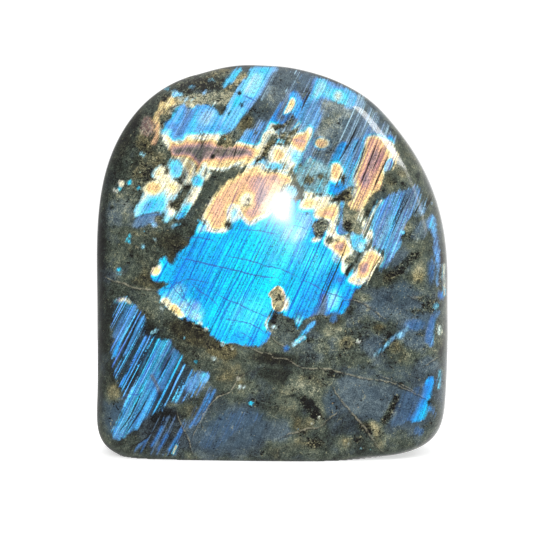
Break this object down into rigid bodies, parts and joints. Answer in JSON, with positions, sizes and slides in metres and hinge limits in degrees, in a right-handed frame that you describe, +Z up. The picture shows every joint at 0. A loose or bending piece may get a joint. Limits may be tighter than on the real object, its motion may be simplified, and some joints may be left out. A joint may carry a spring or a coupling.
{
  "type": "polished labradorite stone",
  "caption": "Free-standing polished labradorite freeform, an arched slab that is thicker at the foot, with a sawn flat base and a blue and gold flash.",
  "frame": {"origin": "middle of the sawn base: the centre of the stone's bounding box in X and Y, at its lowest face", "axes": "+Z up, along the stone's height; +X to the right seen from in front; the main polished face looks towards -Y"},
  "size_m": [0.127, 0.0488, 0.1397],
  "materials": {
    "labradorite": "polished"
  },
  "bodies": {
    "root": {"stone": "labradorite"}
  },
  "joints": []
}
